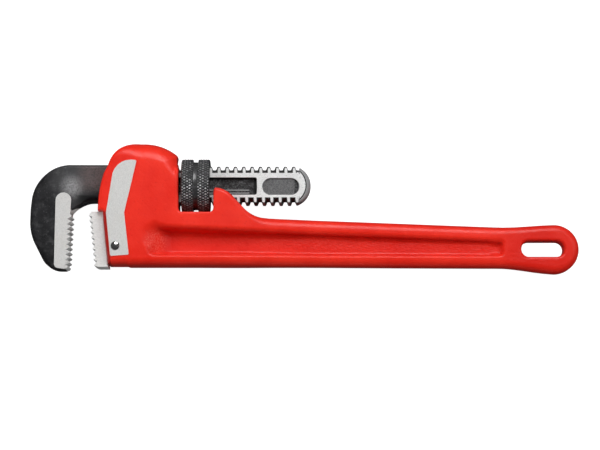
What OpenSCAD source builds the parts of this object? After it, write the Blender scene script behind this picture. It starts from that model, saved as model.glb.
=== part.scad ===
// Straight pipe wrench, 18 inch class, lying on its side.
// +X runs from the jaws to the handle's end, +Y across the wrench, +Z up through its thickness.
// The parts are drawn round the nut's centre, on the shank's axis, and then set down on Z = 0.

/* [Thread] */
// Lead of the screw thread on the shank
thread_pitch = 6; // [5.8:0.1:6.2]
// Outer radius of the thread
crest_r = 14.25; // [14.1:0.05:14.3]
// Depth of the thread
thread_depth = 2.65; // [2.4:0.05:2.7]
// Gap between the nut's thread and the shank's
thread_gap = 0.35; // [0.3:0.05:0.5]

/* [Nut] */
// Outer radius of the knurled bands
nut_r = 19.4; // [18.6:0.1:19.6]
// Width of the nut along the shank
nut_w = 20.4; // [19.6:0.2:21]
// Depth of the groove between the two bands
nut_groove = 2.1; // [1:0.1:2.4]

/* [Hook jaw] */
// Half the thickness of the threaded shank
shank_z = 6.5; // [6:0.1:6.8]
// Half the thickness of the plain arm
arm_z = 7.5; // [7:0.1:7.6]
// Half the thickness of the hook
hook_z = 9.5; // [9:0.1:9.8]
// Height of the ground faces above the forging and the casting
pad_step = 0.6; // [0.3:0.1:0.8]

/* [Jaw teeth] */
// Spacing of the jaw teeth
tooth_pitch = 3.65; // [3.45:0.05:3.8]
// Depth of the hook jaw's teeth
hook_tooth = 3; // [2.2:0.1:3.1]
// Depth of the heel jaw's teeth
heel_tooth = 2.1; // [1.6:0.1:2.4]

/* [Handle] */
// Half the thickness of the housing
head_z = 15.5; // [14.5:0.1:15.8]
// Half the thickness of the handle behind the housing
grip_z = 10.5; // [10:0.1:11.5]
// Half the thickness of the handle's end
tail_z = 8.5; // [8:0.1:9.5]
// Half the thickness of the web between the flanges
web_z = 4; // [3:0.1:5]
// Length of the hanging slot
slot_l = 30.6; // [26:0.2:32]
// Width of the hanging slot
slot_w = 11.4; // [9:0.1:12.4]

/* [Springs and pins] */
// Radius of the heel jaw's pin
pin_r = 2.6; // [2.2:0.1:2.8]
// Thickness of the flat spring
leaf_t = 1.2; // [1:0.1:1.3]
// Wire diameter of the coil spring
wire_d = 1.2; // [1:0.1:1.4]

/* [Hidden] */
$fn = 64;

root_r = crest_r - thread_depth;
crest_w = 1.9;
flank_w = 1;
last_crest_x = 70.2;
teeth_on_shank = 17;
shank_steps = [-1, -0.5, 0, 0.5, 1];

arm_top = 14.7;
arm_bottom = -12.3;
arm_end_x = -25;
hook_back_x = -118.6;
hook_tip_y = -61.2;
hook_shoulder = [-89.5, -13.9, 28.4];
hook_flank = [-82.6, -26.6, 36];
hook_toe = [-96.6, -47, 14.2];
hook_teeth = 10;
hook_face = [-89.8, -57.9];
hook_lean = 2.1;
neck_x = [-90, -83.5];
end_dome_x = 68.2;
end_dome_r = 14.3;
recess_depth = 3.2;

heel_top_y = -19.6;
heel_bottom_y = -59.4;
heel_face_top = [-76.3, heel_top_y];
heel_face_bottom = [-71.7, heel_bottom_y];
seam_top = [-66.1, heel_top_y];
seam_bottom = [-62.1, heel_bottom_y];
heel_z = 10;
tang = [[-66, -28], [-50, -28], [-50, -53], [-63, -53]];
tang_z = 5;
pin_at = [-56.6, -44.8];
pin_head_r = pin_r + 0.8;
pin_head_h = 1.3;

notch_x = [-12, 13];
notch_bottom = -nut_r - 0.8;
passage_z = arm_z + 0.4;
passage_floor = -crest_r - 0.35;
channel_floor = -18;
roof = [[-12, 17.7], [-63, 20.7]];
hump_r = 16.5;
hump_c = [13.3, -19.2];
sweep_r = 22.2;
sweep_c = [50.7, -1.8];
grip_top = [[50.7, -24.2], [219, -30.3]];
grip_bottom = [-58.1, -59.5];
tail_c = [257.0, -46.1];
tail_r = 17.6;
slot_x = 248.5;
pocket_x = [-25, 221];
pocket_top = [-31.5, -40.4];
pocket_bottom = -51;

leaf_x = [-60, -18];
leaf_z = 5.5;
leaf_y = arm_top + 0.3;
coil_x = -38;
coil_r = 3.9;
coil_pocket_r = 5;
coil_pocket_y = 25.2;
coil_turns = 4.5;
fit = 0.03;

box_low = [hook_back_x, tail_c[1] - tail_r, -nut_r];
box_high = [tail_c[0] + tail_r, 30.1, nut_r];
rest = [-(box_low[0] + box_high[0]) / 2, -(box_low[1] + box_high[1]) / 2, nut_r];

function arc(c, rx, ry, a0, a1, n = 10) =
    [for (i = [0:n]) let (a = a0 + (a1 - a0) * i / n) [c[0] + rx * cos(a), c[1] + ry * sin(a)]];
function mix(a, b, t) = a + (b - a) * t;
function smooth(t) = let (u = min(max(t, 0), 1)) u * u * (3 - 2 * u);

// A row of sharp teeth from a to b; a tip stands depth to the right of the line from a to b.
function teeth(a, b, count, depth, lean = 0.5) =
    let (along = (b - a) / count, out = depth * [along[1], -along[0]] / norm(along))
    [for (i = [0:count - 1]) each [a + along * i, a + along * (i + lean) + out]];

// A closed skin through equal rings of points, capped at both ends. Each ring runs anticlockwise when it
// is seen from the ring after it.
module skin(rings) {
    n = len(rings[0]);
    m = len(rings);
    polyhedron(
        points = [for (ring = rings) each ring],
        faces = [
            [for (i = [0:n - 1]) i],
            [for (i = [0:n - 1]) m * n - 1 - i],
            for (k = [0:m - 2], i = [0:n - 1]) let (a = k * n + i, b = k * n + (i + 1) % n) each
                [[b, a, a + n], [b, a + n, b + n]],
        ]);
}

// The shank's screw thread: a right-hand helix, seen as teeth along both edges of a flat bar.
thread_stations = [
    for (k = [teeth_on_shank - 1:-1:0]) let (x = last_crest_x - k * thread_pitch) each [
        [x - crest_w / 2 - flank_w, root_r],
        [x - crest_w / 2, crest_r],
        [x + crest_w / 2, crest_r],
        [x + crest_w / 2 + flank_w, root_r],
    ],
];
function thread_ring(s) =
    let (turn = [for (u = shank_steps) asin(u * shank_z / (crest_r - thread_depth / 2))],
         n = len(shank_steps))
    concat(
        [for (i = [0:n - 1]) let (z = shank_steps[i] * shank_z)
            [s[0] + thread_pitch * turn[i] / 360, sqrt(s[1] * s[1] - z * z), z]],
        [for (i = [n - 1:-1:0]) let (z = shank_steps[i] * shank_z)
            [s[0] + thread_pitch * (180 - turn[i]) / 360, -sqrt(s[1] * s[1] - z * z), z]]);

module threaded_shank() {
    skin([for (s = thread_stations) thread_ring(s)]);
    intersection() {
        translate([end_dome_x, 0, 0]) sphere(end_dome_r);
        translate([end_dome_x + 6.3, -20, -shank_z]) cube([20, 40, 2 * shank_z]);
    }
    translate([last_crest_x, -root_r * 0.8, -shank_z]) cube([6, root_r * 1.6, 2 * shank_z]);
}

hook_face_top = hook_face + hook_teeth * tooth_pitch * [sin(hook_lean), cos(hook_lean)];
hook_teeth_line = teeth(hook_face - [hook_tooth, 0], hook_face_top - [hook_tooth, 0], hook_teeth, hook_tooth, 0.6);
hook_outline = concat(
    [[arm_end_x, arm_top]],
    [[-82, arm_top]],
    arc(hook_shoulder, hook_shoulder[2], hook_shoulder[2], 88, 173, 14),
    [[hook_back_x + 0.2, -18]],
    arc(hook_flank, hook_flank[2], hook_flank[2], 180, 206, 5),
    arc(hook_toe, hook_toe[2], hook_toe[2], 206, 270, 7),
    [[hook_face[0] - 1.5, hook_tip_y], [hook_face[0] - 0.6, hook_face[1] - 1.4]],
    hook_teeth_line,
    [hook_face_top - [0.3, 0]],
    arc([-72, -24.5], 16.5, 12.2, 152, 90, 8),
    [[arm_end_x, arm_bottom]]);

module hook_pad() {
    intersection() {
        polygon(hook_outline);
        hull() {
            translate([-94.5, -11.4]) circle(5.6);
            translate([-97.4, -57]) circle(3.2);
            translate([-89.9, -61]) square([1, 49]);
        }
    }
}

module hook_jaw() {
    color([0.13, 0.13, 0.14]) difference() {
        union() {
            // The hook and the plain arm, which is thinner from the neck on
            intersection() {
                linear_extrude(2 * hook_z, center = true) polygon(hook_outline);
                rotate([90, 0, 0]) linear_extrude(200, center = true) polygon([
                    [hook_back_x - 1, -hook_z], [neck_x[0], -hook_z], [neck_x[1], -arm_z], [0, -arm_z],
                    [0, arm_z], [neck_x[1], arm_z], [neck_x[0], hook_z], [hook_back_x - 1, hook_z],
                ]);
            }
            linear_extrude(2 * (hook_z + pad_step), center = true) hook_pad();
            threaded_shank();
        }
        // The forged recesses in both sides of the shank
        for (side = [-1, 1]) {
            translate([0, 0, side * shank_z]) {
                translate([-24, -6.8, -recess_depth]) cube([67.7, 12.2, 2 * recess_depth]);
                linear_extrude(2.6, center = true) hull() {
                    translate([53.9, -1]) circle(6);
                    translate([68.2, -1]) circle(6);
                }
            }
        }
    }
}

module adjusting_nut() {
    band_w = (nut_w - 3.8) / 2;
    bore_r = crest_r + thread_gap;
    tip_r = root_r + thread_gap;
    half_gap = (thread_pitch - crest_w) / 2;
    gap_x = last_crest_x - 11.5 * thread_pitch;
    reach = nut_w / 2 - 2;
    a0 = (-reach - gap_x) / thread_pitch * 360;
    a1 = (reach - gap_x) / thread_pitch * 360;
    steps = 98;
    color([0.16, 0.16, 0.17]) {
        rotate([0, 90, 0]) rotate_extrude() polygon([
            [bore_r, -nut_w / 2 + 0.6], [bore_r + 0.6, -nut_w / 2], [nut_r - 1.5, -nut_w / 2],
            [nut_r, -nut_w / 2 + 1.5], [nut_r, -nut_w / 2 + band_w - 0.5],
            [nut_r - 0.5, -nut_w / 2 + band_w], [nut_r - nut_groove, -nut_w / 2 + band_w],
            [nut_r - nut_groove, nut_w / 2 - band_w], [nut_r - 0.5, nut_w / 2 - band_w],
            [nut_r, nut_w / 2 - band_w + 0.5], [nut_r, nut_w / 2 - 1.5],
            [nut_r - 1.5, nut_w / 2], [bore_r + 0.6, nut_w / 2], [bore_r, nut_w / 2 - 0.6],
        ]);
        // The internal thread, one ridge that lies in the gaps of the shank's thread
        skin([for (i = [0:steps]) let (
            a = mix(a0, a1, i / steps),
            x = gap_x + thread_pitch * a / 360,
            slope = flank_w / thread_depth,
            tip = half_gap - flank_w + thread_gap * slope - thread_gap,
            base_r = bore_r + 0.3,
            base = tip + (base_r - tip_r) * slope)
            [for (p = [[-tip, tip_r], [tip, tip_r], [base, base_r], [-base, base_r]])
                [x + p[0], p[1] * cos(a), p[1] * sin(a)]]]);
    }
}

// The toothed face's line and the seam, with room added behind for the slot in the casting
module heel_block(room = 0) {
    count = 10;
    inner = [heel_tooth, 0];
    polygon(concat(
        [seam_top + [room, room], heel_face_top + inner + [0, room]],
        room > 0 ? [] : teeth(heel_face_top + inner, heel_face_bottom + inner, count, -heel_tooth, 0.4),
        [heel_face_bottom + inner - [0, room], seam_bottom + [room, -room]]));
}

module heel_jaw() {
    color([0.75, 0.75, 0.76]) difference() {
        union() {
            linear_extrude(2 * heel_z, center = true) heel_block();
            linear_extrude(2 * tang_z, center = true) polygon(tang);
        }
        translate([pin_at[0], pin_at[1], -head_z]) cylinder(r = pin_r + fit, h = 2 * head_z);
    }
}

module heel_jaw_pin() {
    face = head_z + pad_step;
    color([0.85, 0.85, 0.86]) translate([pin_at[0], pin_at[1], 0]) {
        cylinder(r = pin_r, h = 2 * face + 0.2, center = true);
        for (side = [0, 1]) mirror([0, 0, side]) translate([0, 0, face + 0.03]) rotate_extrude()
            polygon(concat([[0, 0]], arc([0, 0], pin_head_r, pin_head_h, 0, 90, 8)));
    }
}

// Outline of the casting in plan
module casting_outline() {
    n = 12;
    polygon(concat(
        [[-69.6, heel_top_y + 0.15], [-69.3, -14]],
        [[-68.8, -7], [-67.6, 0], [-65.6, 7.5]],
        arc([-41.5, 8.5], 21.6, 21.6, 166, 92, 14),
        arc([-37, -7], 37.1, 37.1, 90, 51, 7),
        [[-13, 20.9], [-12.2, 19.8], [notch_x[0], 18.4]],
        arc([notch_x[0] + 2.5, notch_bottom + 2.5], 2.5, 2.5, 180, 270, 5),
        arc([notch_x[1] - 2.5, notch_bottom + 2.5], 2.5, 2.5, 270, 360, 5),
        [[notch_x[1], -4.2]],
        arc(hump_c, hump_r, hump_r, 88, 45, 8),
        arc(sweep_c, sweep_r, sweep_r, 225, 269, 8),
        [for (i = [0:n]) let (t = i / n, x = mix(grip_top[0][0] + 2, tail_c[0] - 1, t))
            [x, mix(grip_top[0][1], grip_top[1][1], min(1, (x - 50.7) / 168.3))
                + (tail_c[1] + tail_r - grip_top[1][1]) * smooth((x - 222) / 36)]],
        arc(tail_c, tail_r, tail_r, 90, -90, 24),
        [for (i = [0:n]) let (x = mix(tail_c[0] - 2, 205, i / n))
            [x, mix(grip_bottom[1], tail_c[1] - tail_r, smooth((x - 217) / 43))]],
        [[3, grip_bottom[0]], [-47.5, grip_bottom[0]], [-49, grip_bottom[0] + 0.6],
         [seam_bottom[0], grip_bottom[0] + 0.6]],
        [seam_top + [0.15, 0.15]]));
}

// Half-thickness of the casting along its length, seen from the side
function half_z(x) = mix(mix(head_z, grip_z, smooth((x - 5) / 90)), tail_z, smooth((x - 110) / 120));
casting_side = [for (x = [-80, 5, 20, 35, 50, 65, 80, 95, 110, 140, 170, 200, 230, 290]) [x, half_z(x)]];

module ground_pad() {
    polygon(concat(
        [[-50.2, -21], [-41.6, 17], [-45.8, 17.3]],
        arc([-45.6, 3.2], 14.2, 14.2, 106, 163, 6),
        [[-63.6, -21], [-60.2, -52.4], [-46.6, -51.4]]));
}

module web_pocket() {
    polygon([
        [pocket_x[0], pocket_bottom + 5], [pocket_x[0] + 1.5, pocket_bottom + 1.5],
        [pocket_x[0] + 5, pocket_bottom], [pocket_x[1] - 3, pocket_bottom],
        [pocket_x[1], pocket_bottom + 3], [pocket_x[1], pocket_top[1] - 3], [pocket_x[1] - 3, pocket_top[1]],
        [pocket_x[0] + 5, pocket_top[0]], [pocket_x[0] + 1.5, pocket_top[0] - 1.5],
        [pocket_x[0], pocket_top[0] - 5],
    ]);
}

module handle_casting() {
    color([0.85, 0.12, 0.09]) difference() {
        union() {
            intersection() {
                linear_extrude(2 * head_z, center = true) casting_outline();
                rotate([90, 0, 0]) linear_extrude(200, center = true) polygon(concat(
                    casting_side,
                    [for (i = [len(casting_side) - 1:-1:0]) [casting_side[i][0], -casting_side[i][1]]]));
            }
            linear_extrude(2 * (head_z + pad_step), center = true) ground_pad();
        }
        // The passage for the shank, from the mouth to the nut's window
        translate([0, 0, -passage_z]) linear_extrude(2 * passage_z) polygon([
            [-80, passage_floor], [-5, passage_floor], [-5, roof[0][1]], roof[0], roof[1], [-80, roof[1][1]],
        ]);
        // The open channel behind the nut
        translate([5, channel_floor, -passage_z]) cube([60, 40, 2 * passage_z]);
        // The slot for the heel jaw's tang, and its pin
        linear_extrude(2 * (tang_z + 0.15), center = true) offset(delta = 0.15) polygon(tang);
        translate([pin_at[0], pin_at[1], -head_z - 2]) cylinder(r = pin_r + fit, h = 2 * head_z + 4);
        // The blind pocket for the coil spring in the roof
        translate([coil_x, 10, 0]) rotate([-90, 0, 0]) cylinder(r = coil_pocket_r, h = coil_pocket_y - 10);
        // The webs' pockets on both sides, and the hanging slot
        for (side = [0, 1]) mirror([0, 0, side]) translate([0, 0, web_z])
            linear_extrude(head_z) web_pocket();
        translate([slot_x, tail_c[1], -head_z]) linear_extrude(2 * head_z) union() {
            square([slot_l - slot_w, slot_w], center = true);
            for (end = [-1, 1]) translate([end * (slot_l - slot_w) / 2, 0]) circle(slot_w / 2);
        }
    }
}

module flat_spring() {
    color([0.32, 0.34, 0.4]) difference() {
        translate([leaf_x[0], leaf_y, -leaf_z]) cube([leaf_x[1] - leaf_x[0], leaf_t, 2 * leaf_z]);
        translate([coil_x, leaf_y - 1, 0]) rotate([-90, 0, 0]) cylinder(r = 1.5 + fit, h = 4);
    }
}

module spring_rivet() {
    color([0.7, 0.7, 0.7]) translate([coil_x, leaf_y, 0]) rotate([-90, 0, 0]) {
        cylinder(r = 1.5, h = leaf_t + 0.05);
        translate([0, 0, leaf_t + 0.05]) cylinder(r = 2.6, h = 0.9);
        translate([0, 0, leaf_t + 0.9]) cylinder(r = 1.5, h = 2.2);
    }
}

module coil_spring() {
    low = leaf_y + leaf_t + wire_d / 2 + 0.1;
    high = coil_pocket_y - wire_d / 2 - 0.1;
    per_turn = 20;
    steps = coil_turns * per_turn;
    color([0.55, 0.56, 0.58]) skin([for (i = [0:steps]) let (a = i / per_turn * 360)
        [for (j = [0:7]) let (b = 45 * j, r = coil_r + wire_d / 2 * cos(b))
            [coil_x + r * cos(a), mix(low, high, i / steps) + wire_d / 2 * sin(b), r * sin(a)]]]);
}

translate(rest) {
    handle_casting();
    heel_jaw();
    heel_jaw_pin();
    coil_spring();
    flat_spring();
    spring_rivet();
    adjusting_nut();
    hook_jaw();
}
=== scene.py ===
"""Looks of the straight pipe wrench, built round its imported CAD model."""
import functools
import itertools
import math

import bpy
import numpy as np
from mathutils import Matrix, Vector


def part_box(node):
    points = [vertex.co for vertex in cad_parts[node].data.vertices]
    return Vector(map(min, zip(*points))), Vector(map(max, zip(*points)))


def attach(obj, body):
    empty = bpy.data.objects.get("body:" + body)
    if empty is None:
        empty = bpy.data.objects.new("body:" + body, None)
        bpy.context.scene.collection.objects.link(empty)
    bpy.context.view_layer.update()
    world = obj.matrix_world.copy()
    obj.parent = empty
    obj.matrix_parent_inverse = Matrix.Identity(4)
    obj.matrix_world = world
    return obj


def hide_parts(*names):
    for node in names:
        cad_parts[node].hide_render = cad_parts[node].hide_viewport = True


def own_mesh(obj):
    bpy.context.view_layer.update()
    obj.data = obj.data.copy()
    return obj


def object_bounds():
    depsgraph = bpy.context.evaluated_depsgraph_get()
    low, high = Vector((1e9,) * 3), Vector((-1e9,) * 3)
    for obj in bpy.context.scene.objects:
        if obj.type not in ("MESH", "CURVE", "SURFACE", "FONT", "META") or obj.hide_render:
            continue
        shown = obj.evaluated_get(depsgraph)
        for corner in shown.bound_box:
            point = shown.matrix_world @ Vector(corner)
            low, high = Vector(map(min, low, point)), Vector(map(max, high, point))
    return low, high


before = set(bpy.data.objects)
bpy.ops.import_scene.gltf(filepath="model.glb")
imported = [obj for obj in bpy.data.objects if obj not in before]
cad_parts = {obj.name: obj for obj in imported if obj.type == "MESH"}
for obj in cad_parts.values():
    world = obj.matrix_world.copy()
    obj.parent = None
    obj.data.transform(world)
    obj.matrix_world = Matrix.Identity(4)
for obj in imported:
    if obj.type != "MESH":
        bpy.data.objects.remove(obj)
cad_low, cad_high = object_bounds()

# Shapes are in millimetres round the nut's centre, as in the CAD source. x runs along the handle, away
# from the jaw, y is up in the photo and z points at the viewer. Names in _Z are half thicknesses.
nut_low, nut_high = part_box("adjusting_nut")
ORIGIN = np.array((nut_low + nut_high) / 2, float)
MM = 1000

# The screw: crest and root are radii, and the widths are along the axis
PITCH = 6.0
CREST = 14.25
ROOT = 11.6
CREST_W = 1.9
FLANK_W = 1.0
LAST_CREST = 70.2
GAP = 0.35

NUT_R = 19.4
NUT_W = 20.4

# The jaws' teeth: how many in a row, how deep they are, and where in its pitch a tip stands
TEETH = 10
HOOK_TOOTH = 3
HEEL_TOOTH = 2.1
TOOTH_LEAN = 0.6

# The hook jaw; PAD is how far a ground face stands proud
SHANK_Z = 6.5
ARM_Z = 7.5
HOOK_Z = 9.5
PAD = 0.6
ARM_END = -24.6
SHANK_START = -24.9
ROUND_X = 68.2
ROUND_R = 14.3

# The casting: housing, handle and end loop
HEAD_Z = 15.5
GRIP_Z = 10.5
TAIL_Z = 8.5
WEB_Z = 4.0
TAIL = (257.0, -46.1)
TAIL_R = 17.6
SLOT_X = 248.5
SLOT_L = 30.6
SLOT_W = 11.4

# The small pieces
HEEL_Z = 10.0
PIN = (-56.6, -44.8)
PIN_R = 2.6
DOME_R = 3.3
DOME_H = 1.3
COIL_X = -38.0
COIL_R = 3.9
COIL_TOP = 24.5
WIRE_R = 0.58
LEAF_Y = 15.0
LEAF_T = 1.2


# ---------------------------------------------------------------- outlines

def arc(cx, cy, rx, ry, a0, a1, n=12):
    a = np.radians(np.linspace(a0, a1, n + 1))
    return np.c_[cx + rx * np.cos(a), cy + ry * np.sin(a)]


def smooth(t):
    t = np.clip(t, 0, 1)
    return t * t * (3 - 2 * t)


def ease(value, start, end):
    """0 before start and 1 past end, with a soft run between. The end may lie below the start."""
    return smooth((value - start) / (end - start))


def mix(a, b, t):
    return a + (b - a) * t


def casting_outline():
    # The handle's top and bottom edges slope a little, and both swell into the end loop
    x1 = np.linspace(52.7, TAIL[0] - 1, 24)
    top = mix(-24.2, -30.3, np.minimum(1, (x1 - 50.7) / 168.3)) + 1.8 * ease(x1, 222, 258)
    x2 = np.linspace(TAIL[0] - 2, 205, 16)
    bottom = mix(-59.5, TAIL[1] - TAIL_R, ease(x2, 217, 260))
    return np.vstack([
        # The housing's front and its crown
        [[-69.6, -19.45], [-69.4, -14], [-68.8, -7], [-67.6, 0], [-65.6, 7.5]],
        arc(-41.5, 8.5, 21.6, 21.6, 166, 92, 20), arc(-37, -7, 37.1, 37.1, 90, 51, 14),
        # Down into the nut's window and along its floor
        [[-13, 20.9], [-12.2, 19.8], [-12, 18.4]],
        arc(-9.5, -17.7, 2.5, 2.5, 180, 270, 6), arc(10.5, -17.7, 2.5, 2.5, 270, 360, 6),
        # The tip behind the nut and the sweep down to the handle
        [[13, -5.6], [13.2, -4.3], [13.8, -3.2]], arc(14.0, -19.2, 16.5, 16.5, 88, 45, 12),
        arc(50.7, -1.8, 22.2, 22.2, 225, 269, 12),
        # The handle's top, the end loop and the handle's bottom
        np.c_[x1, top], arc(*TAIL, TAIL_R, TAIL_R, 90, -90, 30), np.c_[x2, bottom],
        # The underside of the housing and the seat of the heel jaw
        [[3, -58.1], [-47.5, -58.1], [-49, -57.5], [-62.15, -57.5], [-65.95, -19.45]]])


def teeth(a, b, count, depth, lean):
    """Points of a row of teeth from a to b, whose tips stand depth to the right of that line."""
    a, b = np.array(a, float), np.array(b, float)
    along = (b - a) / count
    out = depth * np.array([along[1], -along[0]]) / np.linalg.norm(along)
    flat = along * 0.07
    points = []
    for i in range(count):
        tip = a + along * (i + lean) + out
        points += [a + along * i, tip - flat, tip + flat]
    return np.array(points)


# The row of teeth on the hook: where its tips end at the toe, its length and how far it leans
FACE_LOW = np.array([-89.8, -57.9])
FACE_L = 36.5
FACE_LEAN = math.radians(2.1)
FACE_HIGH = FACE_LOW + FACE_L * np.array([math.sin(FACE_LEAN), math.cos(FACE_LEAN)])

# The throat's oval: its centre's x and y, and its half axes
THROAT = (-72.6, -27.4, 19.5, 15.1)


def hook_outline():
    """The forging without its teeth, which are a bright block of their own."""
    return np.vstack([
        # The arm's top, the crown and the back, down to the toe
        [[-24, 14.7], [-82, 14.7]], arc(-89.5, -13.9, 28.4, 28.4, 88, 173, 26), [[-118.4, -18]],
        arc(-82.6, -26.6, 36, 36, 180, 206, 8), arc(-96.6, -47, 14.2, 14.2, 206, 270, 12),
        # Up behind the row of teeth, round the throat and back under the arm
        [[-92.2, -61.2], FACE_LOW - [3.5, 2.2], FACE_HIGH - [3.5, -0.4], [-90.4, -17.4]],
        arc(*THROAT, 150, 90, 14), [[-24, -12.3]]])


def block_outline():
    """The ground face beside the hook's teeth, with the teeth."""
    return np.vstack([
        arc(-94.5, -11.4, 5.6, 5.6, 8, 180, 16), arc(-97.4, -57, 3.2, 3.2, 180, 270, 8),
        [[-93.2, -60.8], [-91.3, -60.2], [-90.4, -58.8]],
        teeth(FACE_LOW - [HOOK_TOOTH, 0], FACE_HIGH - [HOOK_TOOTH, 0], TEETH, HOOK_TOOTH, TOOTH_LEAN),
        [FACE_HIGH - [1.2, 0], FACE_HIGH - [1.0, -1.6]]])


def heel_outline():
    """The heel jaw's block, with its teeth to the left and its seat to the right."""
    top, bottom = np.array([-76.3, -19.6]), np.array([-71.7, -59.4])
    inner = np.array([HEEL_TOOTH, 0])
    return np.vstack([
        [[-66.1, -19.6], top + inner + [0.3, 0]],
        teeth(top + inner, bottom + inner, TEETH, HEEL_TOOTH, TOOTH_LEAN), [bottom + inner, [-62.1, -59.4]]])


def pad_outline():
    """The bare strip on the housing's face, drawn up its right side, round its head and down its left."""
    return np.vstack([
        [[-50.2, -21], [-42.1, 14.6], [-41.8, 16.2], [-42.6, 17.0], [-45.8, 17.3]],
        arc(-45.6, 3.2, 14.2, 14.2, 106, 163, 14),
        [[-63.6, -21], [-60.3, -51.6], [-59.5, -52.3], [-47.4, -51.4], [-46.7, -50.7]]])


# ---------------------------------------------------------------- distance fields

class Plan:
    """Signed distance to a closed outline in plan, tabulated once; negative inside.

    Calling it looks the distance up between the table's points. Beyond the margin it keeps the edge's value.
    """

    def __init__(self, outline, step=0.3, margin=4.0):
        self.low, self.step = outline.min(0) - margin, step
        n = np.ceil((outline.max(0) + margin - self.low) / step).astype(int) + 1
        x, y = (self.low[i] + step * np.arange(n[i]) for i in (0, 1))
        x, y = x[:, None].astype(np.float32), y[None, :].astype(np.float32)
        best = np.full(n, 1e9, np.float32)
        sign = np.ones(n, np.float32)
        for p, q in zip(outline, np.roll(outline, -1, 0)):
            e = q - p
            square = float(e @ e)
            if square < 1e-9:
                continue
            wx, wy = x - p[0], y - p[1]
            t = np.clip((wx * e[0] + wy * e[1]) / square, 0, 1)
            best = np.minimum(best, (wx - t * e[0]) ** 2 + (wy - t * e[1]) ** 2)
            # Each edge that a line to the right crosses swaps inside and outside
            above, below = y >= p[1], y < q[1]
            left = e[0] * wy > e[1] * wx
            sign[(above & below & left) | (~above & ~below & ~left)] *= -1
        self.table = sign * np.sqrt(best)

    def __call__(self, x, y):
        x, y = np.broadcast_arrays(x, y)
        u, v = (x - self.low[0]) / self.step, (y - self.low[1]) / self.step
        n = self.table.shape
        i = np.clip(u.astype(int), 0, n[0] - 2)
        j = np.clip(v.astype(int), 0, n[1] - 2)
        u, v = np.clip(u - i, 0, 1), np.clip(v - j, 0, 1)
        t = self.table
        return (t[i, j] * (1 - u) * (1 - v) + t[i + 1, j] * u * (1 - v)
                + t[i, j + 1] * (1 - u) * v + t[i + 1, j + 1] * u * v)


def both(a, b, r):
    """Where a and b overlap, with the edge between them rounded to radius r."""
    return np.hypot(np.maximum(a + r, 0), np.maximum(b + r, 0)) + np.minimum(np.maximum(a, b) + r, 0) - r


def overlap(*fields):
    """Where all the fields overlap, with sharp edges."""
    return functools.reduce(np.maximum, fields)


def union(*fields):
    """All the fields together, with sharp corners."""
    return functools.reduce(np.minimum, fields)


def box2(x, y, x0, x1, y0, y1):
    """A rectangle in plan."""
    return np.maximum(np.abs(x - (x0 + x1) / 2) - (x1 - x0) / 2, np.abs(y - (y0 + y1) / 2) - (y1 - y0) / 2)


def stadium(x, y, cx, cy, half, r):
    """A slot in plan with round ends of radius r, whose centres are half to each side of cx."""
    return np.hypot(np.maximum(np.abs(x - cx) - half, 0), y - cy) - r


def net(field, low, high, step):
    """Surface nets over a field, with every point then moved onto the surface.

    Returns points, quads and normals.
    """
    axes = [np.arange(a, b + step, step) for a, b in zip(low, high)]
    shape = tuple(len(a) for a in axes)
    f = np.broadcast_to(field(*np.ix_(*axes)), shape)
    inside = f < 0
    # A cell with corners on both sides of the surface gets one point
    n = [k - 1 for k in shape]
    count = sum(inside[i:i + n[0], j:j + n[1], k:k + n[2]].astype(np.int8)
                for i, j, k in itertools.product((0, 1), repeat=3))
    live = (count > 0) & (count < 8)
    cell = np.argwhere(live)
    index = np.full(n, -1)
    index[live] = np.arange(len(cell))
    # The point is the mean of the places where the surface cuts the cell's twelve edges
    total, hits = np.zeros((len(cell), 3)), np.zeros(len(cell))
    for axis in range(3):
        for u, v in itertools.product((0, 1), repeat=2):
            a = np.zeros(3, int)
            a[(axis + 1) % 3], a[(axis + 2) % 3] = u, v
            b = a.copy()
            b[axis] = 1
            fa, fb = f[tuple((cell + a).T)], f[tuple((cell + b).T)]
            cross = (fa < 0) != (fb < 0)
            p = np.repeat(a[None].astype(float), cross.sum(), 0)
            p[:, axis] = fa[cross] / (fa[cross] - fb[cross])
            total[cross] += p
            hits += cross
    points = np.array(low) + (cell + total / hits[:, None]) * step
    # Each grid edge that the surface cuts gets a quad between the four cells round it
    quads = []
    for axis in range(3):
        o1, o2 = (axis + 1) % 3, (axis + 2) % 3
        change = np.diff(inside.astype(np.int8), axis=axis)
        at = np.argwhere(change != 0)
        at = at[(at[:, o1] > 0) & (at[:, o1] < n[o1]) & (at[:, o2] > 0) & (at[:, o2] < n[o2])]
        s1, s2 = np.eye(3, dtype=int)[o1], np.eye(3, dtype=int)[o2]
        a, b, c, d = (index[tuple((at - s).T)] for s in (0 * s1, s1, s1 + s2, s2))
        quad = np.c_[c, d, a, b]
        entering = change[tuple(at.T)] > 0
        quad[entering] = quad[entering][:, ::-1]
        quads.append(quad)
    # Three moves along the slope, measured over 2 h, and a last look for the normals
    h, moves, furthest, least = 0.12, 3, 0.6 * step, 0.05
    for turn in range(moves + 1):
        at = [points[:, k] for k in range(3)]
        slope = np.empty_like(points)
        for k in range(3):
            up, down = list(at), list(at)
            up[k], down[k] = at[k] + h, at[k] - h
            slope[:, k] = (field(*up) - field(*down)) / (2 * h)
        size = np.maximum((slope ** 2).sum(1), least)
        if turn < moves:
            move = slope * (field(*at) / size)[:, None]
            points = points - np.clip(move, -furthest, furthest)
    return points, np.vstack(quads), slope / np.sqrt(size)[:, None]


# ---------------------------------------------------------------- mesh pieces

def add_object(name, data):
    obj = bpy.data.objects.new(name, data)
    bpy.context.scene.collection.objects.link(obj)
    return obj


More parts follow.
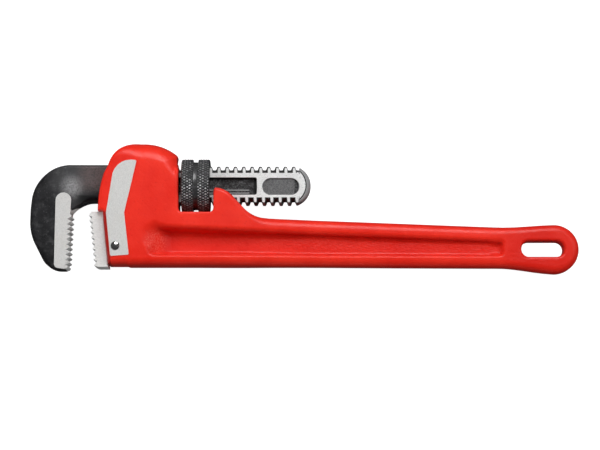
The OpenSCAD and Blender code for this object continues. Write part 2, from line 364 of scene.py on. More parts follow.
def piece(name, parts, body, materials, nodes=(), normals=None, flat_below=None):
    """A piece on a body, made from (points, faces, material index or indices) groups.

    It is shaded smooth by its normals, or else sharp at edges of more than flat_below degrees.
    """
    verts, faces, index = [], [], []
    for points, polys, material in parts:
        base = sum(len(v) for v in verts)
        verts.append(np.asarray(points, float))
        polys = [[base + i for i in p] for p in (polys.tolist() if isinstance(polys, np.ndarray) else polys)]
        faces += polys
        index += list(material) if hasattr(material, "__len__") else [material] * len(polys)
    mesh = bpy.data.meshes.new(name)
    mesh.from_pydata((np.vstack(verts) / MM + ORIGIN).tolist(), [], faces)
    for m in materials:
        mesh.materials.append(m)
    mesh.polygons.foreach_set("material_index", index)
    mesh.update()
    if normals is not None:
        mesh.polygons.foreach_set("use_smooth", [True] * len(mesh.polygons))
        mesh.normals_split_custom_set_from_vertices(normals)
    elif flat_below is not None:
        mesh.set_sharp_from_angle(angle=math.radians(flat_below))
    obj = add_object(name, mesh)
    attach(obj, body)
    if nodes:
        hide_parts(*nodes)
    return obj


def turning(outline):
    """1 for an outline that runs anticlockwise and -1 for a clockwise one."""
    return np.sign(sum(p[0] * q[1] - q[0] * p[1] for p, q in zip(outline, np.roll(outline, -1, 0))))


def inset(outline, amount):
    """The outline moved inward by amount, whichever way it runs."""
    before, after = outline - np.roll(outline, 1, 0), np.roll(outline, -1, 0) - outline
    n1 = np.c_[-before[:, 1], before[:, 0]] / np.linalg.norm(before, axis=1)[:, None]
    n2 = np.c_[-after[:, 1], after[:, 0]] / np.linalg.norm(after, axis=1)[:, None]
    middle = n1 + n2
    length = np.maximum((middle * n1).sum(1), 0.6)
    return outline + turning(outline) * amount * middle / length[:, None]


def bands(rings, n):
    """The quads that join each of several rings of n points to the next ring."""
    return [[k * n + i, k * n + (i + 1) % n, (k + 1) * n + (i + 1) % n, (k + 1) * n + i]
            for k in range(rings - 1) for i in range(n)]


def plate(outline, z0, z1, chamfer, cap=0, wall=0, low_chamfer=True):
    """A slab from an outline, with chamfered rims. The caps and the walls have their own materials."""
    if turning(outline) < 0:
        outline = outline[::-1]
    small = inset(outline, chamfer)
    lowest = small if low_chamfer else outline
    rings = [(lowest, z0), (outline, z0 + chamfer), (outline, z1 - chamfer), (small, z1)]
    n = len(outline)
    points = np.vstack([np.c_[ring, np.full(n, z)] for ring, z in rings])
    caps = [list(range(n))[::-1], [3 * n + i for i in range(n)]]
    return points, caps + bands(len(rings), n), [cap, cap] + [wall] * (3 * n)


def lathe(profile, n, place):
    """n-sided rings of (radius, height) points about an axis; place(radius, angle, height) gives a point."""
    points = [place(r, 2 * math.pi * i / n, h) for r, h in profile for i in range(n)]
    last = (len(profile) - 1) * n
    caps = [list(range(n))[::-1], [last + i for i in range(n)]]
    return np.array(points), bands(len(profile), n) + caps, 0


def tube(path, radius, sides):
    """A round wire along a path of points, closed at both ends."""
    path = np.asarray(path, float)
    along = np.gradient(path, axis=0)
    along /= np.linalg.norm(along, axis=1)[:, None]
    up = np.tile([0.0, 1.0, 0.0], (len(path), 1))
    side = np.cross(along, up)
    side /= np.linalg.norm(side, axis=1)[:, None]
    up = np.cross(side, along)
    a = np.linspace(0, 2 * math.pi, sides, endpoint=False)
    around = np.cos(a)[None, :, None] * side[:, None] + np.sin(a)[None, :, None] * up[:, None]
    rings = path[:, None] + radius * around
    faces = []
    for k in range(len(path) - 1):
        for i in range(sides):
            j = (i + 1) % sides
            faces.append([k * sides + i, (k + 1) * sides + i, (k + 1) * sides + j, k * sides + j])
    last = (len(path) - 1) * sides
    faces += [list(range(sides)), [last + i for i in range(sides)][::-1]]
    return rings.reshape(-1, 3), faces, 0


# ---------------------------------------------------------------- materials

class Finish:
    """A material built from nodes. Every pattern is placed by the piece's own coordinates, in millimetres."""

    def __init__(self, name, rough, metal=0.0, **sockets):
        self.material = bpy.data.materials.new(name)
        self.material.use_nodes = True
        self.tree = self.material.node_tree
        self.shader = self.tree.nodes["Principled BSDF"]
        self.shader.inputs["Metallic"].default_value = metal
        self.shader.inputs["Roughness"].default_value = rough
        for key, value in sockets.items():
            self.shader.inputs[key.replace("_", " ")].default_value = value
        shift = self.node("VectorMath", operation="SUBTRACT")
        self.link(self.node("TexCoord").outputs["Object"], shift.inputs[0])
        shift.inputs[1].default_value = ORIGIN
        scale = self.node("VectorMath", operation="SCALE")
        self.link(shift.outputs[0], scale.inputs[0])
        scale.inputs["Scale"].default_value = MM
        self.place = scale.outputs[0]
        split = self.node("SeparateXYZ")
        self.link(self.place, split.inputs[0])
        self.x, self.y, self.z = split.outputs

    def node(self, kind, **settings):
        n = self.tree.nodes.new("ShaderNode" + kind)
        for key, value in settings.items():
            setattr(n, key, value)
        return n

    def link(self, a, b):
        self.tree.links.new(a, b)

    def feed(self, value, socket):
        if isinstance(value, bpy.types.NodeSocket):
            self.link(value, socket)
        else:
            socket.default_value = value

    def math(self, operation, a, b=0.0, clamp=False):
        n = self.node("Math", operation=operation, use_clamp=clamp)
        self.feed(a, n.inputs[0])
        self.feed(b, n.inputs[1])
        return n.outputs[0]

    def ramp(self, value, low, high, to_low=0.0, to_high=1.0, soft=True):
        """value taken from low..high to to_low..to_high, and held there beyond them."""
        n = self.node("MapRange", interpolation_type="SMOOTHSTEP" if soft else "LINEAR")
        keys = ("Value", "From Min", "From Max", "To Min", "To Max")
        for key, v in zip(keys, (value, low, high, to_low, to_high)):
            self.feed(v, n.inputs[key])
        return n.outputs[0]

    def times(self, *values):
        return functools.reduce(lambda a, b: self.math("MULTIPLY", a, b), values)

    def larger(self, a, b):
        return self.math("MAXIMUM", a, b)

    def stripe(self, value, at, half):
        """1 where value is within half of at, and 0 elsewhere."""
        mask = self.math("COMPARE", value, at)
        mask.node.inputs[2].default_value = half
        return mask

    def distance(self, point):
        """How far a place is from point, in millimetres."""
        n = self.node("VectorMath", operation="DISTANCE")
        self.link(self.place, n.inputs[0])
        n.inputs[1].default_value = point
        return n.outputs["Value"]

    def from_axis(self):
        """How far a place is from the screw's axis, in millimetres."""
        squares = [self.math("POWER", side, 2.0) for side in (self.y, self.z)]
        return self.math("POWER", self.math("ADD", *squares), 0.5)

    def noise(self, size, detail=3.0, rough=0.55, stretch=None, seed=0.0):
        """Noise whose blotches are about size millimetres across."""
        place = self.place
        if stretch:
            m = self.node("VectorMath", operation="MULTIPLY")
            self.link(place, m.inputs[0])
            m.inputs[1].default_value = stretch
            place = m.outputs[0]
        n = self.node("TexNoise", noise_dimensions="4D")
        self.link(place, n.inputs["Vector"])
        n.inputs["W"].default_value = seed
        n.inputs["Scale"].default_value = 1 / size
        n.inputs["Detail"].default_value = detail
        n.inputs["Roughness"].default_value = rough
        return n.outputs["Fac"]

    def blend(self, factor, a, b):
        n = self.node("Mix", data_type="RGBA")
        self.feed(factor, n.inputs["Factor"])
        for value, socket in ((a, n.inputs[6]), (b, n.inputs[7])):
            self.feed((*value, 1.0) if isinstance(value, tuple) else value, socket)
        return n.outputs[2]

    def colour(self, value):
        self.feed(value, self.shader.inputs["Base Color"])

    def rough(self, value):
        self.link(value, self.shader.inputs["Roughness"])

    def metal(self, value):
        self.link(value, self.shader.inputs["Metallic"])

    def bump(self, height, depth, after=None):
        """height is 0 to 1, and depth is its depth in millimetres."""
        n = self.node("Bump")
        n.inputs["Strength"].default_value = 1.0
        n.inputs["Distance"].default_value = depth / MM
        self.link(height, n.inputs["Height"])
        if after:
            self.link(after, n.inputs["Normal"])
        self.link(n.outputs[0], self.shader.inputs["Normal"])
        return n.outputs[0]


def enamel():
    """Red enamel over cast iron: glossy, a little uneven, with painted shade in the web's pockets, towards
    the end loop and beside the heel jaw, and painted glints at the pocket's housing end.
    """
    f = Finish("red_enamel", 0.36, Coat_Weight=0.04, Coat_Roughness=0.15, Specular_IOR_Level=0.32)
    cloud = f.noise(28, 3)
    grain = f.noise(1.7, 4, 0.6, seed=3.0)
    deep_red = (0.80, 0.020, 0.010)
    full_red = (0.90, 0.034, 0.018)
    colour = f.blend(f.ramp(cloud, 0.3, 0.7), deep_red, full_red)
    colour = f.blend(f.ramp(grain, 0.56, 0.8, 0, 0.35), colour, (0.95, 0.075, 0.045))
    colour = f.blend(f.ramp(grain, 0.44, 0.25, 0, 0.4), colour, (0.55, 0.008, 0.006))
    # Painted shade: darker down in the pockets and towards the end loop
    depth = f.ramp(f.math("ABSOLUTE", f.z), 9.5, 5.0)
    painted_shade = f.larger(depth, f.ramp(f.x, 200, 245))
    colour = f.blend(f.times(painted_shade, 0.42), colour, (0.5, 0.008, 0.006))
    # The line in shadow between the housing and the heel jaw, which leans like the jaw
    lean = f.math("ADD", f.x, f.times(f.y, 0.1005))
    seam = f.times(f.ramp(lean, -64.9, -65.9), f.ramp(f.y, -19, -21))
    colour = f.blend(f.times(seam, 0.7), colour, (0.2, 0.006, 0.006))
    # Painted highlight: bright orange-peel glints speckled over the ramp at the pocket's housing end
    near = f.ramp(f.distance((-27.5, -42, 11)), 12, 5)
    skin = f.times(near, f.ramp(f.noise(1.0, 3, 0.7, seed=6.0), 0.44, 0.64, 0.0, 0.45))
    f.colour(f.blend(skin, colour, (1.0, 0.22, 0.17)))
    f.rough(f.ramp(f.noise(6, 4), 0.3, 0.7, 0.30, 0.42))
    coarse = f.times(grain, f.math("ADD", f.times(depth, 1.2), 1.0))
    waves = f.bump(f.noise(9, 2, 0.5, seed=1.0), 0.18)
    f.bump(coarse, 0.16, waves)
    return f.material


def steel(name, tone, rough=0.42, lines=(0.12, 1.6, 0.12), seed=0.0):
    """Ground bare steel with fine grinding lines, speckle and faint stains."""
    f = Finish(name, rough, 0.15)
    line = f.noise(0.8, 4, 0.6, stretch=tuple(1 / s for s in lines), seed=seed)
    speck = f.noise(0.9, 3, 0.7, seed=seed + 5)
    stain = f.noise(11, 4, 0.6, seed=seed + 9)
    light = tuple(min(1, c * 1.12) for c in tone)
    dark = tuple(c * 0.72 for c in tone)
    darkest = tuple(c * 0.5 for c in tone)
    rusty = (tone[0] * 0.85, tone[1] * 0.8, tone[2] * 0.72)
    colour = f.blend(f.ramp(line, 0.3, 0.7), dark, light)
    colour = f.blend(f.ramp(speck, 0.6, 0.78, 0, 0.55), colour, darkest)
    f.colour(f.blend(f.ramp(stain, 0.45, 0.75, 0, 0.25), colour, rusty))
    f.rough(f.ramp(line, 0.25, 0.75, rough - 0.08, rough + 0.14))
    f.bump(line, 0.035)
    return f.material


def black_forging():
    """Black oxide on a forged skin: matt, pitted, with worn grey specks, a lighter crown, a painted sheen by
    the ground face, a painted red reflection on the arm and painted shade along the arm's edges.
    """
    f = Finish("black_oxide", 0.5, 0.2, Specular_IOR_Level=0.35)
    cloud = f.noise(16, 4, 0.6)
    speck = f.noise(1.1, 3, 0.7, seed=2.0)
    colour = f.blend(f.ramp(cloud, 0.35, 0.7), (0.008, 0.008, 0.009), (0.020, 0.020, 0.022))
    # Rubbed grey in blotches, a painted sheen round the top of the ground face, and lighter grey over the
    # crown of the hook
    pad_top = f.distance((-88.6, -1.4, HOOK_Z))
    wear_and_sheen = f.ramp(f.noise(5, 4, 0.7, seed=8.0), 0.45, 0.75, 0, 0.6)
    wear_and_sheen = f.math("ADD", wear_and_sheen, f.ramp(pad_top, 22, 4, 0, 0.55), clamp=True)
    crown = f.times(f.ramp(f.y, -8, 4), f.ramp(f.x, -112, -96))
    wear_and_sheen = f.math("ADD", wear_and_sheen, f.times(crown, 0.35), clamp=True)
    colour = f.blend(wear_and_sheen, colour, (0.075, 0.075, 0.078))
    colour = f.blend(f.ramp(speck, 0.58, 0.74, 0, 0.6), colour, (0.16, 0.16, 0.165))
    # Painted sheen: lighter grey specks close to the top of the ground face
    sheen_patch = f.times(f.ramp(pad_top, 11, 1), f.ramp(speck, 0.3, 0.6, 0.35, 1.0))
    colour = f.blend(sheen_patch, colour, (0.30, 0.30, 0.305))
    # Painted reflection of the red housing: a brownish tint on the arm's face
    red_reflection = f.times(f.ramp(f.x, -88, -76), f.ramp(f.y, -8, 2))
    red_reflection = f.times(red_reflection, f.ramp(speck, 0.3, 0.6, 0.2, 0.7))
    colour = f.blend(red_reflection, colour, (0.16, 0.12, 0.117))
    # Painted shade: black along the arm's top edge and along its underside
    under = f.times(f.ramp(f.y, -6.5, -8.5), f.ramp(f.x, -88, -80))
    edge = f.larger(under, f.ramp(f.y, 13.1, 14.0))
    colour = f.blend(edge, colour, (0.006, 0.006, 0.007))
    # The throat behind the teeth is milled bright, up to the oval of the outline's throat
    wide = f.math("POWER", f.math("DIVIDE", f.math("ADD", f.x, -THROAT[0]), THROAT[2]), 2.0)
    high = f.math("POWER", f.math("DIVIDE", f.math("ADD", f.y, -THROAT[1]), THROAT[3]), 2.0)
    bend = f.math("ADD", f.x, f.times(f.z, 0.32))
    throat = f.times(f.ramp(f.math("ADD", wide, high), 1.12, 1.06), f.ramp(bend, -85.6, -86.4))
    f.colour(f.blend(throat, colour, (0.80, 0.795, 0.78)))
    f.rough(f.ramp(cloud, 0.3, 0.7, 0.40, 0.56))
    waves = f.bump(f.noise(4.5, 3, 0.6, seed=4.0), 0.16)
    f.bump(speck, 0.09, waves)
    return f.material


def shank_finish():
    """The threaded shank: ground flats, black thread and recesses."""
    f = Finish("shank_finish", 0.45, 0.6, Specular_IOR_Level=0.3)
    height = f.math("ABSOLUTE", f.z)
    # Painted shade: left of x = -10 the ground flats are painted dark, beside the nut and inside the housing
    clear_of_shade = f.ramp(f.x, -13, -10)
    flat = f.times(f.ramp(height, SHANK_Z - 0.12, SHANK_Z - 0.02), clear_of_shade)
    line = f.noise(0.8, 4, 0.6, stretch=(1 / 2.5, 1 / 0.2, 1 / 0.2))
    speck = f.noise(0.75, 3, 0.75, seed=6.0)
    bare = f.blend(f.ramp(line, 0.3, 0.7), (0.68, 0.685, 0.68), (0.92, 0.92, 0.915))
    bare = f.blend(f.ramp(speck, 0.54, 0.7, 0, 0.65), bare, (0.2, 0.2, 0.205))
    mottle = f.ramp(f.noise(1.3, 4, 0.7, seed=3.0), 0.42, 0.72)
    dark = f.blend(mottle, (0.016, 0.016, 0.017), (0.13, 0.13, 0.133))
    out = f.from_axis()
    crest = f.times(f.ramp(out, CREST - 0.35, CREST - 0.1), f.ramp(speck, 0.35, 0.6, 0.15, 0.6))
    dark = f.blend(crest, dark, (0.20, 0.20, 0.205))
    # The long recess: painted shadow as a black line round its top and end, and painted highlights along two
    # ledges low down
    rim = f.larger(f.ramp(f.y, 4.3, 4.9), f.ramp(f.x, 41.2, 42.2))
    rim = f.times(rim, f.times(f.ramp(f.x, 46, 45), f.ramp(f.y, 6.5, 6)))
    dark = f.blend(rim, dark, (0.006, 0.006, 0.006))
    ledge_glint = f.math("ADD", f.stripe(f.y, -3.25, 0.28), f.stripe(f.y, -5.55, 0.28))
    ledge_glint = f.times(ledge_glint, f.times(f.ramp(f.x, 38.6, 38.2), clear_of_shade))
    ledge_glint = f.times(ledge_glint, f.ramp(speck, 0.3, 0.55, 0.4, 1.0))
    dark = f.blend(ledge_glint, dark, (0.52, 0.52, 0.52))
    # The oval recess and the round end are greyer
    oval = f.times(f.ramp(f.x, 46, 47), f.ramp(f.x, 72, 70, 0, 0.42))
    oval = f.times(oval, f.ramp(speck, 0.35, 0.6, 0.3, 1.0))
    dark = f.blend(f.larger(f.ramp(f.x, 73, 75, 0, 0.85), oval), dark, (0.34, 0.34, 0.345))
    # Painted shade: a dark arc beside the round end, the middle of its edge, and a line along the thread's
    # bottoms
    ring = f.stripe(f.distance((65.7, 0, SHANK_Z)), 13.5, 0.42)
    ring = f.times(ring, f.ramp(f.x, 73.5, 75))
    brink_shade = f.times(f.ramp(height, 4.4, 3.6), f.ramp(f.x, 74, 75.5))
    turn = f.math("DIVIDE", f.math("ARCTAN2", f.z, f.y), 2 * math.pi)
    pitches = f.math("DIVIDE", f.math("SUBTRACT", f.x, LAST_CREST), PITCH)
    along = f.math("FRACT", f.math("SUBTRACT", pitches, turn))
    gullet_shade = f.ramp(f.math("ABSOLUTE", f.math("SUBTRACT", along, 0.5)), 0.36, 0.30)
    gullet_shade = f.times(gullet_shade, f.times(f.ramp(out, ROOT - 0.75, ROOT - 0.5), f.ramp(f.x, 73, 72)))
    mark = f.larger(brink_shade, f.larger(ring, gullet_shade))
    f.colour(f.blend(mark, f.blend(flat, dark, bare), (0.02, 0.02, 0.02)))
    f.metal(f.ramp(flat, 0, 1, 0.05, 0.2, soft=False))
    f.rough(f.ramp(speck, 0.3, 0.7, 0.36, 0.55))
    f.bump(f.math("ADD", f.times(line, 0.3), speck), 0.07)
    return f.material


def nut_finish():
    """Black phosphate, worn bright on the points of the knurl, with a painted highlight that keeps the points
    faintest where the top and bottom are at rest and lightens the groove.
    """
    f = Finish("black_phosphate", 0.32, 0.0, Specular_IOR_Level=0.5)
    out = f.from_axis()
    wear_and_glint = f.ramp(out, NUT_R - 0.34, NUT_R - 0.12)
    wear_and_glint = f.times(wear_and_glint, f.ramp(f.noise(2.2, 3, 0.6), 0.4, 0.65, 0.1, 1.0))
    # Painted highlight: the worn points fade towards the top and the bottom at rest, so they shine most
    # across the middle; this turns with the nut
    wear_and_glint = f.times(wear_and_glint, f.times(f.ramp(f.y, 10, -3, 0.35, 1.0), f.ramp(f.y, -17, -12, 0.3, 1.0)))
    cloud = f.ramp(f.noise(3, 4, 0.6, seed=2.0), 0.3, 0.7)
    colour = f.blend(cloud, (0.010, 0.010, 0.011), (0.026, 0.026, 0.028))
    # Painted highlight: the groove is lighter grey, as well as smoother, to stand in for the glint along it
    groove = f.times(f.ramp(out, NUT_R - 1.7, NUT_R - 1.9), f.ramp(out, NUT_R - 2.4, NUT_R - 2.2))
    colour = f.blend(groove, colour, (0.07, 0.07, 0.072))
    f.colour(f.blend(wear_and_glint, colour, (0.92, 0.92, 0.93)))
    f.metal(f.ramp(wear_and_glint, 0, 1, 0.05, 0.6, soft=False))
    f.rough(f.math("SUBTRACT", f.ramp(cloud, 0, 1, 0.30, 0.42), f.times(groove, 0.12)))
    f.bump(f.noise(0.7, 3, 0.6, seed=5.0), 0.03)
    return f.material


def bright(name, tone, rough, size, metal=1.0):
    """Turned or drawn steel with faint marks."""
    f = Finish(name, rough, metal)
    mark = f.noise(size, 4, 0.6)
    f.colour(f.blend(f.ramp(mark, 0.35, 0.7), tuple(c * 0.8 for c in tone), tone))
    f.rough(f.ramp(mark, 0.3, 0.7, rough - 0.05, rough + 0.12))
    f.bump(mark, 0.012)
    return f.material


RED = enamel()
GROUND = steel("ground_steel", (0.74, 0.735, 0.72))
TOOTH = steel("milled_steel", (0.88, 0.875, 0.86), 0.4, (1.6, 0.12, 0.12), 3.0)
# Painted light: the flanks' steel is toned lighter than the faces' steel, to brighten flanks that sit in
# shade
LIT_TOOTH_FLANK = steel("tooth_flank", (0.95, 0.95, 0.94), 0.42, (0.12, 0.12, 1.6), 7.0)
BLACK = black_forging()
SHANK = shank_finish()
NUT = nut_finish()
POLISHED = bright("polished_steel", (0.86, 0.86, 0.86), 0.17, 1.5, 0.95)
BLUED = bright("blued_spring_steel", (0.16, 0.18, 0.24), 0.3, 0.8)


# ---------------------------------------------------------------- the casting

casting_plan = Plan(casting_outline())
pocket_plan = Plan(np.vstack([
    arc(-27.5, -43.6, 8, 8, 180, 270, 8), arc(217.4, -48.1, 3.5, 3.5, 270, 360, 6),
    arc(217.4, -43.9, 3.5, 3.5, 0, 88, 6), arc(-28.5, -37.6, 7, 7, 92, 180, 8)]), margin=14)


def half_thickness(x):
    return mix(mix(HEAD_Z, GRIP_Z, ease(x, 5, 95)), TAIL_Z, ease(x, 110, 230))


def casting(x, y, z):
    up = np.abs(z)
    half = half_thickness(x)
    # The rim is a broad round on the housing's crown and the handle's upper edge, and tighter elsewhere
    plain_rim, window_rim, grip_rim, tail_rim = 2.4, 1.2, 6.2, 5.4
    at_crown = ease(y, 1, 19) * ease(x, -60, -38)
    at_bottom = ease(y, -40, -52)
    at_window = ease(np.abs(x - 0.5), 16, 13) * ease(y, 14, 8) * ease(y, -30, -22)
    rim = plain_rim + 10.6 * at_crown + 3.0 * at_bottom
    rim = mix(rim, window_rim, at_window)
    rim = mix(rim, grip_rim, ease(x, 31, 53))
    rim = mix(rim, tail_rim, ease(x, 200, 240))
    solid = both(casting_plan(x, y), up - half, rim)
    # Web pockets, with drafted walls, a soft upper lip and crisp lower lines; they fade out at the housing
    upper = ease(y, -46, -40)
    deep = up - WEB_Z - (HEAD_Z + 1 - WEB_Z) * ease(x, -17, -38)
    draft = mix(0.26, 0.30, upper) + 0.3 * ease(x, 208, 216)
    wall = pocket_plan(x, y) + np.maximum(half - up, 0) * draft
    soft = 3 * ease(x, -18, -30) * upper
    floor_r, lip_r, slot_r, inner_r = mix(1.4, 2.2, upper) + soft, mix(1.0, 2.4, upper) + soft, 2.2, 0.8
    solid = both(solid, -both(wall, -deep, floor_r), lip_r)
    slot = stadium(x, y, SLOT_X, TAIL[1], (SLOT_L - SLOT_W) / 2, SLOT_W / 2)
    solid = both(solid, -slot, slot_r)
    # The passage for the shank, the channel behind the nut, the tang's slot and the spring's pocket
    play = 0.4
    beside = up - ARM_Z - play
    roof = 17.7 + (-12 - x) * (3 / 51) + 3 * ease(x, -14.5, -12)
    passage = overlap(x + 5, -14.6 - y, y - roof, beside)
    channel = overlap(5 - x, x - 65, -18 - y, beside)
    tang = overlap(box2(x, y, -67, -49.85, -53.15, -27.85), up - 5.15)
    blind = overlap(np.hypot(x - COIL_X, z) - 5, 10 - y, y - 25.2)
    return both(solid, -union(passage, channel, tang, blind), inner_r)


points, quads, normals = net(casting, (-71, -64, -16.8), (277, 31, 16.8), 0.9)
piece("handle_iron_casting", [(points, quads, 0)], "handle", [RED], ["handle_casting"], normals)

face = HEAD_Z + PAD
sunk = 1.2
pads = [plate(pad_outline(), HEAD_Z - sunk, face, 0.22, wall=1, low_chamfer=False),
        plate(pad_outline(), -face, -HEAD_Z + sunk, 0.22, wall=1)]
piece("ground_housing_pads", pads, "handle", [GROUND, RED], flat_below=30)

tang_z = 5
tang_plate = plate(np.array([[-66, -28], [-50, -28], [-50, -53], [-63, -53]]), -tang_z, tang_z, 0.3)
piece("heel_jaw_insert", [plate(heel_outline(), -HEEL_Z, HEEL_Z, 0.3, wall=1), tang_plate],
      "handle", [TOOTH, LIT_TOOTH_FLANK], ["heel_jaw"], flat_below=30)


def pin_place(r, a, h):
    return [PIN[0] + r * math.cos(a), PIN[1] + r * math.sin(a), h]


dome_foot = face + 0.05
dome = [(DOME_R * math.cos(math.radians(a)), dome_foot + DOME_H * math.sin(math.radians(a)))
        for a in range(0, 90, 9)]
dome.append((0.25, dome_foot + DOME_H))
pin_profile = [(r, -h) for r, h in dome[::-1]] + [(PIN_R, -face + 0.2), (PIN_R, face - 0.2)] + dome
piece("heel_jaw_rivet", [lathe(pin_profile, 40, pin_place)],
      "handle", [POLISHED], ["heel_jaw_pin"], flat_below=40)

# ---------------------------------------------------------------- the springs

coil_turns = 4.5
steps = np.linspace(0, 1, 109)
coil_foot = LEAF_Y + LEAF_T + 0.7
angle = 2 * math.pi * coil_turns * steps
# The first and the last 12% of the wire lie flat, as closed ends
rise = np.clip((steps - 0.12) / 0.76, 0, 1)
coil_path = np.c_[COIL_X + COIL_R * np.cos(angle), mix(coil_foot, COIL_TOP, rise), COIL_R * np.sin(angle)]
coil = piece("coil_spring_wire", [tube(coil_path, WIRE_R, 10)],
             "handle", [BLUED], ["coil_spring"], flat_below=50)
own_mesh(coil)

strip = np.vstack([arc(-56, 0, 4, 5.5, 90, 270, 12), arc(-22, 0, 4, 5.5, -90, 90, 12)])
leaf_points, leaf_faces, leaf_kind = plate(strip, 0, LEAF_T, 0.2)
# The strip is drawn flat, then laid on top of the shank
leaf_points = np.c_[leaf_points[:, 0], LEAF_Y + leaf_points[:, 2], -leaf_points[:, 1]]
piece("flat_spring_strip", [(leaf_points, leaf_faces, leaf_kind)], "spring_rocker", [BLUED], ["flat_spring"],
      flat_below=30)


def rivet_place(r, a, h):
    return [COIL_X + r * math.cos(a), LEAF_Y + h, -r * math.sin(a)]


rivet_profile = [(1.2, 0.0), (1.5, 0.2), (1.5, 1.25), (2.1, 1.26), (2.2, 1.5), (2.1, 2.0), (1.5, 2.2),
                 (1.5, 4.0), (1.2, 4.3)]
piece("spring_rivet_head", [lathe(rivet_profile, 28, rivet_place)],
      "spring_rocker", [POLISHED], ["spring_rivet"], flat_below=35)

# ---------------------------------------------------------------- the nut


def nut_section():
    """The ring's section as (x, radius, knurl) rows. A radius of -1 stands for the threaded bore."""
    groove_w, groove_depth = 3.8, 2.1
    edge_r, thread_rows = 1.3, 54
    half = NUT_W / 2
    inner_edge = half - (NUT_W - groove_w) / 2
    sides = []
    for side in (-1, 1):
        rows = []
        for a, knurl in ((0, 0), (22, 0.2), (45, 0.5), (68, 0.8)):
            rows.append((half - edge_r * (1 - math.cos(math.radians(a))),
                         NUT_R - edge_r * (1 - math.sin(math.radians(a))), knurl))
        rows += [(x, NUT_R, 1.0) for x in np.linspace(half - edge_r, inner_edge + 0.45, 23)]
        rows += [(inner_edge + 0.15, NUT_R - 0.15, 0.5), (inner_edge, NUT_R - 0.5, 0.0)]
        rows += [(inner_edge, NUT_R - 1.7, 0), (inner_edge - 0.25, NUT_R - 2.02, 0)]
        rows += [(inner_edge - 0.5, NUT_R - groove_depth, 0)]
        sides.append([(side * x, r, k) for x, r, k in rows])
    bore = CREST + GAP
    loop = sides[0] + [(0.0, NUT_R - groove_depth, 0)] + sides[1][::-1]
    loop += [(half, bore + 0.7, 0), (half - 0.6, bore, 0)]
    loop += [(x, -1.0, 0) for x in np.linspace(half - 0.8, -half + 0.8, thread_rows)]
    loop += [(-half + 0.6, bore, 0), (-half, bore + 0.7, 0)]
    return np.array(loop)


def nut_mesh():
    """A closed ring: two diamond-knurled bands, the groove between them, and the internal thread."""
    around, diamonds = 522, 58
    knurl_lead, knurl_depth, knurl_top = 3.75, 0.55, 1.25
    loop = nut_section()
    a = np.linspace(0, 2 * math.pi, around, endpoint=False)[None, :]
    x, r, knurl = (loop[:, i][:, None] + 0 * a for i in range(3))
    # Knurl: crossed V-grooves leave small flat-topped diamonds
    u = a * diamonds / (2 * math.pi) + x / knurl_lead
    v = a * diamonds / (2 * math.pi) - x / knurl_lead
    ridge = np.minimum(1 - np.abs(2 * (u % 1) - 1), 1 - np.abs(2 * (v % 1) - 1))
    r = np.where(r > 0, r - knurl * knurl_depth * (1 - np.minimum(ridge * knurl_top, 1)), r)
    # Internal thread: one ridge in the gaps of the shank's thread, fading out at both mouths
    bore = CREST + GAP
    gap_x = LAST_CREST - 11.5 * PITCH
    shift = (x - gap_x - PITCH * a / (2 * math.pi) + PITCH / 2) % PITCH - PITCH / 2
    tip, slope = 0.83, FLANK_W / (CREST - ROOT)
    thread_r = np.clip(ROOT + GAP + (np.abs(shift) - tip) / slope, ROOT + GAP, bore)
    fade = smooth((NUT_W / 2 - 0.8 - np.abs(x)) / 1.4)
    r = np.where(r < 0, mix(bore, thread_r, fade), r)
    points = np.stack([x, r * np.cos(a), r * np.sin(a)], -1).reshape(-1, 3)
    k, i = np.meshgrid(np.arange(len(loop)), np.arange(around), indexing="ij")
    k2, i2 = (k + 1) % len(loop), (i + 1) % around
    corners = [k * around + i, k * around + i2, k2 * around + i2, k2 * around + i]
    return points, np.stack(corners, -1).reshape(-1, 4), 0


piece("adjusting_nut_knurled", [nut_mesh()], "adjusting_nut", [NUT], ["adjusting_nut"],
      flat_below=42)

# ---------------------------------------------------------------- the hook jaw

hook_plan = Plan(hook_outline(), 0.25)


def hook(x, y, z):
    up = np.abs(z)
    thick = mix(ARM_Z, HOOK_Z, ease(x, -79, -92))
    # The rim is rounder at the hook's back and in its throat
    back = ease(x, -98, -112)
    throat = ease(y, -34, -24) * ease(y, -4, -10)
    rim = 2.2 + 2.0 * back + throat * (3.4 * ease(x, -84, -75) - 1.5 * ease(x, -98, -92))
    return both(both(hook_plan(x, y), up - thick, rim), x - ARM_END, 0.5)


def crest_points(at):
    """One crest of the thread about x = at, as (x, radius) points from flank to flank."""
    half, bevel_x, bevel_r = CREST_W / 2, 0.2, 0.25
    near = [[-half - FLANK_W, ROOT], [-half - 0.08, CREST - bevel_r], [-half + bevel_x, CREST]]
    return [[at + x, r] for x, r in near] + [[at - x, r] for x, r in near[::-1]]


# Four crests in a row over a solid core, so that one pitch in the middle can be repeated along the shank
thread_outline = [point for k in (-1, 0, 1, 2) for point in crest_points(k * PITCH)]
thread_outline += [[2.6 * PITCH, ROOT], [2.6 * PITCH, 2], [-1.6 * PITCH, 2], [-1.6 * PITCH, ROOT]]
thread_plan = Plan(np.array(thread_outline), 0.12, 2.0)


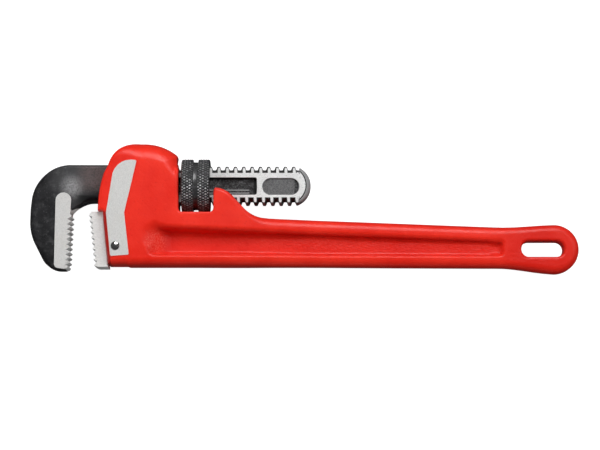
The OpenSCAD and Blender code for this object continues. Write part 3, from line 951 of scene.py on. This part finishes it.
def shank(x, y, z):
    up = np.abs(z)
    out = np.hypot(y, z)
    along = x - LAST_CREST - PITCH * np.arctan2(z, y) / (2 * math.pi)
    screw = np.where(out < 6, out - ROOT, thread_plan(along % PITCH, out))
    # Past the last crest the thread gives way to the plain round end
    last = np.where(x > 74.4, out - CREST, screw)
    past = np.maximum(x - ROUND_X, 0)
    plain = np.hypot(past, y) - ROUND_R
    facing = past / (np.hypot(past, y) + 0.01)
    rim = mix(0.5, 0.9 + 2.7 * facing, ease(x, 73.6, 74.8))
    body = both(both(plain, last, 0.05), up - SHANK_Z, rim)
    # Forged recesses: a stepped one beside the nut and an oval one near the end
    floor_drop, first_ledge, second_ledge, oval_drop = 3.2, 1.0, 1.0, 1.3
    step = floor_drop - first_ledge * ease(y, -3.0, -3.5) * ease(x, 39, 38.2)
    step = step - second_ledge * ease(y, -5.3, -5.8)
    long = both(both(x - 43.7, np.abs(y + 0.7) - 6.1, 1.3), SHANK_Z - step - up, 0.5)
    oval = both(stadium(x, y, 61.05, -1, 7.15, 6), SHANK_Z - oval_drop - up, 0.8)
    body = both(body, -union(long, oval), 0.3)
    return both(body, SHANK_START - x, 0.1)


points, quads, normals = net(hook, (-120.6, -62, -10.6), (-23.4, 16.8, 10.6), 0.62)
piece("hook_jaw_forging", [(points, quads, 0)], "hook_jaw", [BLACK], ["hook_jaw"], normals)
points, quads, normals = net(shank, (-25.4, -15.4, -7.2), (83.4, 15.4, 7.2), 0.42)
piece("hook_jaw_shank", [(points, quads, 0)], "hook_jaw", [SHANK], normals=normals)

ground = HOOK_Z + PAD
piece("hook_jaw_teeth", [plate(block_outline(), -ground, ground, 0.25, wall=1)], "hook_jaw",
      [GROUND, LIT_TOOTH_FLANK], flat_below=30)

# ---------------------------------------------------------------- floor, light and camera

reach, below = 4, -0.0004
floor = bpy.data.meshes.new("floor")
corners = [(-reach, -reach, below), (reach, -reach, below), (reach, reach, below), (-reach, reach, below)]
floor.from_pydata(corners, [], [(0, 1, 2, 3)])
floor_obj = add_object("floor", floor)
floor_obj.visible_diffuse = False
floor_obj.visible_glossy = False
floor_obj.visible_shadow = False
paper = bpy.data.materials.new("pale_floor")
paper.use_nodes = True
paper_inputs = paper.node_tree.nodes["Principled BSDF"].inputs
paper_inputs["Base Color"].default_value = (0.3, 0.3, 0.3, 1)
paper_inputs["Roughness"].default_value = 0.9
paper_inputs["Emission Color"].default_value = (1, 1, 1, 1)
paper_inputs["Emission Strength"].default_value = 1.0
floor.materials.append(paper)


def area(name, at, to, size, power, glint=True):
    """A round lamp at one point, turned to another. Without glint it doesn't show in reflections."""
    light = bpy.data.lights.new(name, "AREA")
    light.shape = "DISK"
    light.size = size
    light.energy = power
    obj = add_object(name, light)
    obj.location = at
    obj.rotation_mode = "QUATERNION"
    obj.rotation_quaternion = (Vector(to) - Vector(at)).to_track_quat("-Z", "Y")
    obj.visible_glossy = glint


# Each lamp's place and target, its size in metres and its power in watts
area("key", (0.1, 0.96, 1.16), (0, 0, 0), 0.9, 13.6)
area("right", (1.05, 0.2, 1.0), (0, 0, 0), 0.8, 8.8, False)
area("left", (-1.25, 0.25, 0.85), (0, 0, 0), 0.8, 11.4, False)
area("under", (0, -1.4, 0.1), (0, 0, 0.02), 0.6, 5.0, False)

# A sky that is lighter at the horizon than overhead
world = bpy.data.worlds.new("studio")
world.use_nodes = True
tree = world.node_tree
split = tree.nodes.new("ShaderNodeSeparateXYZ")
tree.links.new(tree.nodes.new("ShaderNodeTexCoord").outputs["Generated"], split.inputs[0])
fade = tree.nodes.new("ShaderNodeMapRange")
for key, value in (("From Min", -0.15), ("From Max", 0.5), ("To Min", 0.55), ("To Max", 0.24)):
    fade.inputs[key].default_value = value
tree.links.new(split.outputs["Z"], fade.inputs["Value"])
tree.links.new(fade.outputs[0], tree.nodes["Background"].inputs["Strength"])
bpy.context.scene.world = world
bpy.context.scene.view_settings.view_transform = "Standard"

# The camera looks almost straight down, at a point a little left of the middle and below it
tilt = math.radians(83)
distance = 1.4976
aside, lower = -0.00315, 0.01117
middle = Vector((0, 0, (cad_low.z + cad_high.z) / 2))
up = Vector((0, math.sin(tilt), math.cos(tilt)))
aim = middle + Vector((aside, 0, 0)) - up * lower
camera = add_object("camera", bpy.data.cameras.new("camera"))
camera.data.lens = 124.8
camera.data.sensor_width = 36
camera.location = aim + Vector((0, -math.cos(tilt), math.sin(tilt))) * distance
camera.rotation_euler = (math.pi / 2 - tilt, 0, 0)
bpy.context.scene.camera = camera
